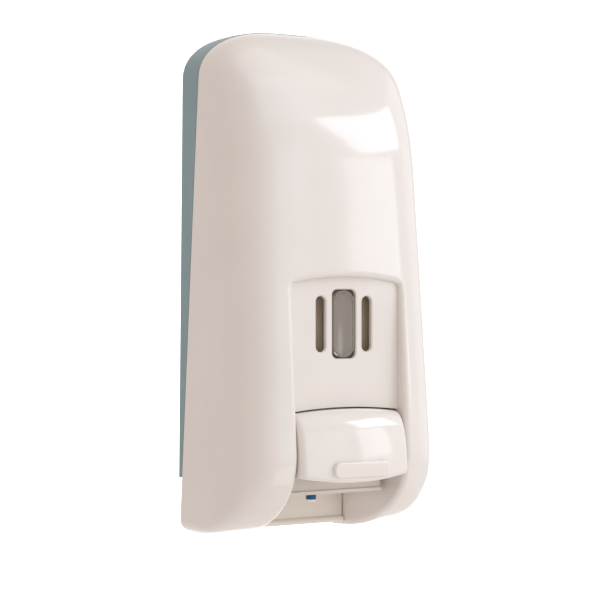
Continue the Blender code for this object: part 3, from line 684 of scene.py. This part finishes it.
def make_button():
    """A thin shell with a grip bar, pivot bosses, and a nose that pushes the pump."""
    button = loft("button_moulding", button_rings(0.0, 58.5, (8, 40, 8), (8, 26, 12)))
    hollow = loft("button_hollow", button_rings(BUTTON_WALL, 40.0, (4, 24, 4), (4, 16, 6)))
    inside = BUTTON_HALF - BUTTON_WALL - 0.2
    floor = box("floor_cutter", (-inside, inside), (40.0, 72.0), (20.0, BUTTON_FOOT + 3.0))
    above = box("reservoir_gap", (-BUTTON_HALF - 1.0, BUTTON_HALF + 1.0), (40.0, 62.0), (63.0, 72.0))
    cut(button, hollow, floor, above)
    add(button, grip_bar(), push_nose())
    for side in (-1, 1):
        start = -BUTTON_HALF + 1.0 if side < 0 else BUTTON_HALF - 5.0
        add(button, rod("pivot_boss", 'x', (start, *BUTTON_PIVOT), 3.4, 4.0))
        reach = sorted((side * 25.0, side * 36.0))
        cut(button, cross_hole(BUTTON_PIVOT, BUTTON_PIN_RADIUS + CLEAR, reach))
    return smooth(button, 32.0)


# ---------------------------------------------------------------------------- back plate
def keyhole(x, z):
    """Cutters for a round hole with a narrow slot above it."""
    hole = rod("key_cutter", 'd', (x, -5.0, z), 4.5, 10.0)
    slot = rounded_outline(x, z + 5.0, 4.6, 10.0, 2.2)
    return hole, prism("key_slot", slot, -5.0, 5.0)


def make_back_plate():
    """A tray that follows the body's outline, with a narrow tongue at its foot."""
    angles = np.linspace(0.0, math.pi, 161)
    middle = list(np.arange(CHIN_HEIGHT, BODY_TOP - DOME_HEIGHT - 2.0, 6.0))
    plate = body_solid("back_tray", 0.0, angles, body_levels(0.0, 24, middle, 24, 30))
    cut(plate, box("front_cutter", (-90.0, 90.0), (-30.0, 130.0), (-60.0, 28.6)))
    ahead = [(rim_depth(-60.0) - RIM_GAP, -60.0), (130.0, -60.0), (130.0, 330.0)]
    ahead.append((rim_depth(330.0) - RIM_GAP, 330.0))
    cut(plate, side_prism("ahead_cutter", ahead, -90.0, 90.0))
    tray = inner_solid("tray_cutter", PLATE_WALL)
    tray.data.transform(Matrix.Translation((0.0, -0.0025, 0.0)))
    cut(plate, tray)
    add(plate, prism("tongue", rounded_outline(0.0, 18.0, 58.0, 32.0, 3.0), 0.0, 2.5))
    for x, z in SCREW_PLACES:
        add(plate, rod("screw_boss", 'd', (x, 1.0, z), 4.5, 4.5))
        cut(plate, rod("boss_hole", 'd', (x, 1.0, z), 1.9, 10.0))
    for x, z in WALL_HOLES:
        cut(plate, *keyhole(x, z))
    return smooth(plate)


# ------------------------------------------------------------------------------- chassis
def chassis_lip():
    """The rolled lower edge of the apron, as (d, z) points."""
    radius = 1.8
    front = 15.0
    outline = [(FRAME_BACK, 2.0 * radius), (front, 2.0 * radius)]
    for k in range(1, 17):
        angle = math.radians(90.0 - 180.0 * k / 17)
        outline.append((front + radius * math.cos(angle), radius + radius * math.sin(angle)))
    return outline + [(front, 0.0), (FRAME_BACK, 0.0)]


def make_chassis():
    """The inner frame: rear panel, reservoir shelf, pump box, apron and lip."""
    back = FRAME_BACK
    rear = (back, back + SHEET)
    chassis = box("inner_frame", (-30.5, 30.5), rear, (4.0, 66.0))
    add(chassis, box("upper_panel", (-54.5, 54.5), rear, (62.0, 84.0)))
    add(chassis, box("shelf", (-50.0, 50.0), (back, 58.0), (62.0, 64.4)))
    add(chassis, box("box_floor", (-BOX_HALF, BOX_HALF), (back, BOX_FRONT + 1.0), (21.4, 23.2)))
    front = (BOX_FRONT - SHEET, BOX_FRONT)
    add(chassis, box("box_front", (-BOX_HALF, BOX_HALF), front, (22.0, 48.0)))
    for side in (-1, 1):
        cheek = sorted((side * (BOX_HALF - SHEET), side * BOX_HALF))
        add(chassis, box("box_side", cheek, (back, BOX_FRONT), (22.0, 63.0)))
    add(chassis, box("apron", (-APRON_HALF, APRON_HALF), (12.6, 15.0), (1.5, 22.0)))
    add(chassis, side_prism("lip", chassis_lip(), -APRON_HALF, APRON_HALF))
    cut(chassis, rod("pump_hole", 'd', (0.0, 45.0, PUMP_Z), PUMP_RADIUS + 0.5, 20.0))
    cut(chassis, rod("nozzle_hole", 'z', (0.0, NOZZLE_D, 10.0), 4.2, 16.0))
    cut(chassis, rod("neck_hole", 'z', (0.0, NECK_D, 55.0), 12.5, 14.0))
    for x, z in SCREW_PLACES:
        cut(chassis, rod("screw_hole", 'd', (x, 0.0, z), 2.1, 12.0))
    for x, z in SCREW_PLACES[2:]:
        cut(chassis, rod("driver_hole", 'd', (x, 45.0, z), 4.2, 20.0))
    for side in (-1, 1):
        block = sorted((side * 24.5, side * APRON_HALF))
        add(chassis, box("hinge_block", block, (back, 15.0), (2.0, 13.4)))
        reach = sorted((side * 24.0, side * 36.0))
        cut(chassis, cross_hole(HINGE, HINGE_PIN_RADIUS + CLEAR, reach))
    return soften(chassis, 0.5)


# -------------------------------------------------------------------------------- nozzle
def make_nozzle_parts():
    """The outlet tube, and the pale soft rim round its tip."""
    top = NOZZLE_TOP - NOZZLE_TIP
    place = (0.0, NOZZLE_D, NOZZLE_TIP)
    tube = [(1.3, 1.3), (1.3, 2.75), (1.6, 2.8), (7.2, 2.8), (7.2, 3.0), (top, 3.0), (top, 1.3)]
    rim = [(0.0, 1.3), (0.0, 2.3), (0.15, 2.6), (0.4, 2.8), (1.3, 2.8), (1.3, 1.3)]
    return smooth(washer("nozzle_tube", place, tube)), smooth(washer("nozzle_rim", place, rim), 50.0)


# -------------------------------------------------------------------------------- spring
def make_spring():
    """The piston's return spring, with its last turns wound close at both ends."""
    turns, per_turn, sides = 7, 36, 12
    length = SPRING_FRONT - SPRING_BACK
    low = SPRING_WIRE
    close = 2.2 * SPRING_WIRE
    reach = length - 2.0 * low - 2.0 * close
    rings = []
    for k in range(turns * per_turn + 1):
        turn = k / per_turn
        lift = low + close * min(turn, 1.0) + close * max(turn - turns + 1.0, 0.0)
        lift += reach * min(max((turn - 1.0) / (turns - 2.0), 0.0), 1.0)
        angle = 2.0 * math.pi * turn
        ring = []
        for i in range(sides):
            around = 2.0 * math.pi * i / sides
            out = SPRING_RADIUS + SPRING_WIRE * math.cos(around)
            radial = (out * math.cos(angle), out * math.sin(angle))
            place = (0.0, SPRING_BACK, PUMP_Z)
            ring.append(along('d', place, radial, lift + SPRING_WIRE * math.sin(around)))
        rings.append(ring)
    return smooth(loft("piston_spring", rings), 60.0)


# ------------------------------------------------------------------------------ materials
def new_material(name):
    """A material with its nodes, its links and its Principled shader."""
    material = bpy.data.materials.new(name)
    material.use_nodes = True
    nodes = material.node_tree.nodes
    return material, nodes, material.node_tree.links, nodes["Principled BSDF"]


def node(nodes, kind, **values):
    """A new node, with values set on its inputs or its own settings."""
    made = nodes.new(kind)
    for key, value in values.items():
        if key in made.inputs:
            made.inputs[key].default_value = value
        else:
            setattr(made, key, value)
    return made


def plastic(name, colour, roughness, spread=0.03, peel=0.02, grain=900.0, coat=0.0):
    """Moulded plastic: faint mottling, uneven gloss and a fine surface texture."""
    material, nodes, links, shader = new_material(name)
    place = node(nodes, "ShaderNodeTexCoord")
    cloud = node(nodes, "ShaderNodeTexNoise", Scale=22.0, Detail=4.0, Roughness=0.55)
    fine = node(nodes, "ShaderNodeTexNoise", Scale=grain, Detail=3.0, Roughness=0.6)
    links.new(place.outputs["Object"], cloud.inputs["Vector"])
    links.new(place.outputs["Object"], fine.inputs["Vector"])
    tint = node(nodes, "ShaderNodeValToRGB")
    low = [linear(c * (1.0 - spread)) for c in colour]
    high = [linear(min(255.0, c * (1.0 + spread * 0.5))) for c in colour]
    tint.color_ramp.elements[0].position = 0.3
    tint.color_ramp.elements[0].color = (*low, 1.0)
    tint.color_ramp.elements[1].position = 0.7
    tint.color_ramp.elements[1].color = (*high, 1.0)
    links.new(cloud.outputs["Fac"], tint.inputs["Fac"])
    links.new(tint.outputs["Color"], shader.inputs["Base Color"])
    gloss = node(nodes, "ShaderNodeMapRange")
    gloss.inputs["To Min"].default_value = roughness * 0.85
    gloss.inputs["To Max"].default_value = roughness * 1.2
    links.new(fine.outputs["Fac"], gloss.inputs["Value"])
    links.new(gloss.outputs["Result"], shader.inputs["Roughness"])
    bump = node(nodes, "ShaderNodeBump", Strength=peel, Distance=0.0002)
    links.new(fine.outputs["Fac"], bump.inputs["Height"])
    links.new(bump.outputs["Normal"], shader.inputs["Normal"])
    shader.inputs["IOR"].default_value = 1.49
    shader.inputs["Coat Weight"].default_value = coat
    shader.inputs["Coat Roughness"].default_value = 0.06
    return material


def metal(name, colour, roughness):
    """Brushed steel: fine streaks in colour and gloss."""
    material, nodes, links, shader = new_material(name)
    place = node(nodes, "ShaderNodeTexCoord")
    stretch = node(nodes, "ShaderNodeMapping")
    stretch.inputs["Scale"].default_value = (40.0, 900.0, 900.0)
    streak = node(nodes, "ShaderNodeTexNoise", Scale=1.0, Detail=4.0)
    links.new(place.outputs["Object"], stretch.inputs["Vector"])
    links.new(stretch.outputs["Vector"], streak.inputs["Vector"])
    tint = node(nodes, "ShaderNodeValToRGB")
    tint.color_ramp.elements[0].color = (*[linear(c * 0.85) for c in colour], 1.0)
    tint.color_ramp.elements[1].color = (*[linear(c) for c in colour], 1.0)
    links.new(streak.outputs["Fac"], tint.inputs["Fac"])
    links.new(tint.outputs["Color"], shader.inputs["Base Color"])
    gloss = node(nodes, "ShaderNodeMapRange")
    gloss.inputs["To Min"].default_value = roughness * 0.7
    gloss.inputs["To Max"].default_value = roughness * 1.3
    links.new(streak.outputs["Fac"], gloss.inputs["Value"])
    links.new(gloss.outputs["Result"], shader.inputs["Roughness"])
    shader.inputs["Metallic"].default_value = 1.0
    return material


def clear_plastic(name, colour, roughness):
    """The tinted clear moulding of the sight lens."""
    material, nodes, links, shader = new_material(name)
    place = node(nodes, "ShaderNodeTexCoord")
    haze = node(nodes, "ShaderNodeTexNoise", Scale=240.0, Detail=3.0)
    links.new(place.outputs["Object"], haze.inputs["Vector"])
    gloss = node(nodes, "ShaderNodeMapRange")
    gloss.inputs["To Min"].default_value = roughness * 0.6
    gloss.inputs["To Max"].default_value = roughness * 1.6
    links.new(haze.outputs["Fac"], gloss.inputs["Value"])
    links.new(gloss.outputs["Result"], shader.inputs["Roughness"])
    shader.inputs["Base Color"].default_value = (*[linear(c) for c in colour], 1.0)
    shader.inputs["Transmission Weight"].default_value = 0.65
    shader.inputs["IOR"].default_value = 1.49
    return material


# --------------------------------------------------------------------------------- pieces
def keep_inside(obj, names):
    """Hold a piece's few finest points inside the box of the CAD nodes it stands for."""
    boxes = [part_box(name) for name in names]
    for i in range(3):
        low = min(b[0][i] for b in boxes)
        high = max(b[1][i] for b in boxes)
        for vertex in obj.data.vertices:
            vertex.co[i] = min(max(vertex.co[i], low), high)


def place_piece(obj, body, material, slot, *nodes):
    """Give a piece its material, and put it on its body in place of its CAD nodes."""
    keep_inside(obj, nodes)
    obj.data.materials.clear()
    obj.data.materials.append(material)
    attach(obj, body)
    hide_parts(*nodes)
    return obj


white = plastic("white_gloss", (236, 230, 225), 0.12, 0.012, 0.03, 700.0, 0.3)
button_white = plastic("button_gloss", (238, 232, 227), 0.1, 0.012, 0.03, 700.0, 0.3)
teal = plastic("back_satin", (136, 161, 167), 0.42, 0.03, 0.12, 1500.0)
frame_white = plastic("frame_satin", (236, 228, 221), 0.35, 0.02, 0.08, 1200.0)
natural = plastic("natural_plastic", (216, 214, 206), 0.38, 0.03, 0.08, 600.0)
bottle = plastic("bottle_plastic", (218, 202, 178), 0.38, 0.03, 0.08, 600.0)
grey = plastic("grey_plastic", (150, 152, 154), 0.4, 0.03, 0.1, 1500.0)
blue = plastic("nozzle_blue", (4, 84, 130), 0.3, 0.05, 0.05, 1500.0)
rubber = plastic("black_rubber", (38, 38, 40), 0.7, 0.08, 0.2, 2200.0)
steel = metal("stainless_steel", (190, 192, 194), 0.28)
glass = clear_plastic("sight_clear", (206, 198, 188), 0.06)

place_piece(make_cover(), "cover", white, "cover_plastic", "front_cover")
place_piece(make_lens(), "cover", glass, "lens_clear", "sight_lens")
place_piece(make_lens_gasket(), "cover", rubber, "black_rubber", "lens_gasket")
place_piece(make_button(), "button", button_white, "button_plastic", "push_button")
place_piece(make_back_plate(), "base", teal, "back_plastic", "back_plate")
place_piece(make_chassis(), "base", frame_white, "frame_plastic", "chassis")
nozzle_tube, nozzle_rim = make_nozzle_parts()
place_piece(nozzle_tube, "base", blue, "nozzle_blue", "nozzle")
place_piece(nozzle_rim, "base", button_white, "nozzle_blue", "nozzle")

spring = place_piece(make_spring(), "base", steel, "stainless_steel", "return_spring")
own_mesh(spring)

KEPT = {"reservoir": bottle, "pump_body": natural, "pump_piston": natural, "pump_gland": grey,
        "filler_cap": grey, "filler_cap_seal": rubber, "outlet_seal": rubber,
        "piston_seal": rubber, "inlet_ball": steel, "button_pin": steel,
        "hinge_pin_left": steel, "hinge_pin_right": steel,
        "chassis_screw_1": steel, "chassis_screw_2": steel, "chassis_screw_3": steel,
        "chassis_screw_4": steel, "top_clip": steel}
for name, material in KEPT.items():
    for slot in frame["nodes"][name].material_slots:
        slot.material = material


# ------------------------------------------------------------------ stage, light, camera
def backdrop():
    """A pale sweep: floor, curve and wall in one sheet, well behind and below."""
    material, nodes, links, shader = new_material("backdrop_paper")
    place = node(nodes, "ShaderNodeTexCoord")
    mottle = node(nodes, "ShaderNodeTexNoise", Scale=3.0, Detail=3.0)
    links.new(place.outputs["Object"], mottle.inputs["Vector"])
    tint = node(nodes, "ShaderNodeValToRGB")
    tint.color_ramp.elements[0].color = (0.86, 0.86, 0.86, 1.0)
    tint.color_ramp.elements[1].color = (0.9, 0.9, 0.9, 1.0)
    links.new(mottle.outputs["Fac"], tint.inputs["Fac"])
    links.new(tint.outputs["Color"], shader.inputs["Base Color"])
    shader.inputs["Roughness"].default_value = 0.9
    shader.inputs["Specular IOR Level"].default_value = 0.1
    profile = [(-2.6, -0.75), (0.9, -0.75)]
    for k in range(1, 12):
        angle = math.radians(90.0 * k / 12)
        profile.append((0.9 + 0.6 * math.sin(angle), -0.75 + 0.6 * (1.0 - math.cos(angle))))
    profile += [(1.5, -0.15), (1.5, 2.6)]
    points = [(x, y, z) for x in (-3.5, 3.5) for y, z in profile]
    count = len(profile)
    faces = [[i, i + 1, count + i + 1, count + i] for i in range(count - 1)]
    mesh = bpy.data.meshes.new("studio_sweep")
    mesh.from_pydata(points, [], faces)
    mesh.shade_smooth()
    mesh.materials.append(material)
    sheet = bpy.data.objects.new("studio_sweep", mesh)
    bpy.context.scene.collection.objects.link(sheet)


# Each lamp's name, azimuth and elevation in degrees, distance, size, and watts by colour.
MIDDLE = Vector((0.0, -0.05, 0.0))
LAMPS = (
    ("key_box", 52.0, 29.0, 1.3, (0.66, 0.40), (3.1, 3.3, 3.8)),
    ("window_strip", 43.0, 9.0, 1.3, (0.42, 0.42), (1.1, 1.2, 1.4)),
    ("top_box", 20.0, 78.0, 1.3, (1.2, 1.0), (1.3, 1.4, 1.2)),
    ("front_top_box", 5.0, 52.0, 1.3, (1.2, 0.7), (0.6, 1.0, 1.3)),
    ("floor_bounce", 12.0, -38.0, 0.8, (0.5, 0.4), (0.55, 0.52, 0.36)),
    ("right_box", 88.0, 12.0, 1.4, (0.9, 1.4), (1.2, 1.35, 1.55)),
    ("front_box", 10.0, 5.0, 1.8, (1.0, 1.2), (0.9, 1.65, 2.2)),
)


def softbox(name, place, target, size, watts):
    """A rectangular lamp at place that faces target, with its watts by colour."""
    light = bpy.data.lights.new(name, 'AREA')
    light.shape = 'RECTANGLE'
    light.size, light.size_y = size
    light.energy = max(watts)
    light.color = [w / max(watts) for w in watts]
    obj = bpy.data.objects.new(name, light)
    obj.location = place
    obj.rotation_euler = (Vector(target) - Vector(place)).to_track_quat('-Z', 'Y').to_euler()
    bpy.context.scene.collection.objects.link(obj)


def studio():
    """The backdrop, the air's even light, and the lamps."""
    backdrop()
    sky = bpy.data.worlds.new("studio_air")
    bpy.context.scene.world = sky
    sky.use_nodes = True
    air = sky.node_tree.nodes["Background"]
    air.inputs["Color"].default_value = (1.0, 0.89, 0.83, 1.0)
    air.inputs["Strength"].default_value = 0.71
    for name, azimuth, elevation, distance, size, watts in LAMPS:
        a = math.radians(azimuth)
        e = math.radians(elevation)
        away = Vector((math.sin(a) * math.cos(e), -math.cos(a) * math.cos(e), math.sin(e)))
        softbox(name, MIDDLE + away * distance, MIDDLE, size, watts)
    softbox("wall_light", (0.95, 0.75, 0.0), (0.95, 1.5, 0.0), (1.6, 1.2), (16.0, 16.5, 17.0))
    bpy.context.scene.view_settings.view_transform = 'Standard'


def photographer():
    """A level camera to the object's left, looking along a 32 degree yaw."""
    yaw = math.radians(32.0)
    distance = 0.993
    aim = Vector((-0.0102, -0.0407, -0.0153))
    look = Vector((math.sin(yaw), math.cos(yaw), 0.0))
    data = bpy.data.cameras.new("studio_camera")
    data.lens = 110.5
    data.sensor_width = 36.0
    camera = bpy.data.objects.new("studio_camera", data)
    camera.location = aim - look * distance
    camera.rotation_euler = look.to_track_quat('-Z', 'Y').to_euler()
    bpy.context.scene.collection.objects.link(camera)
    bpy.context.scene.camera = camera


studio()
photographer()
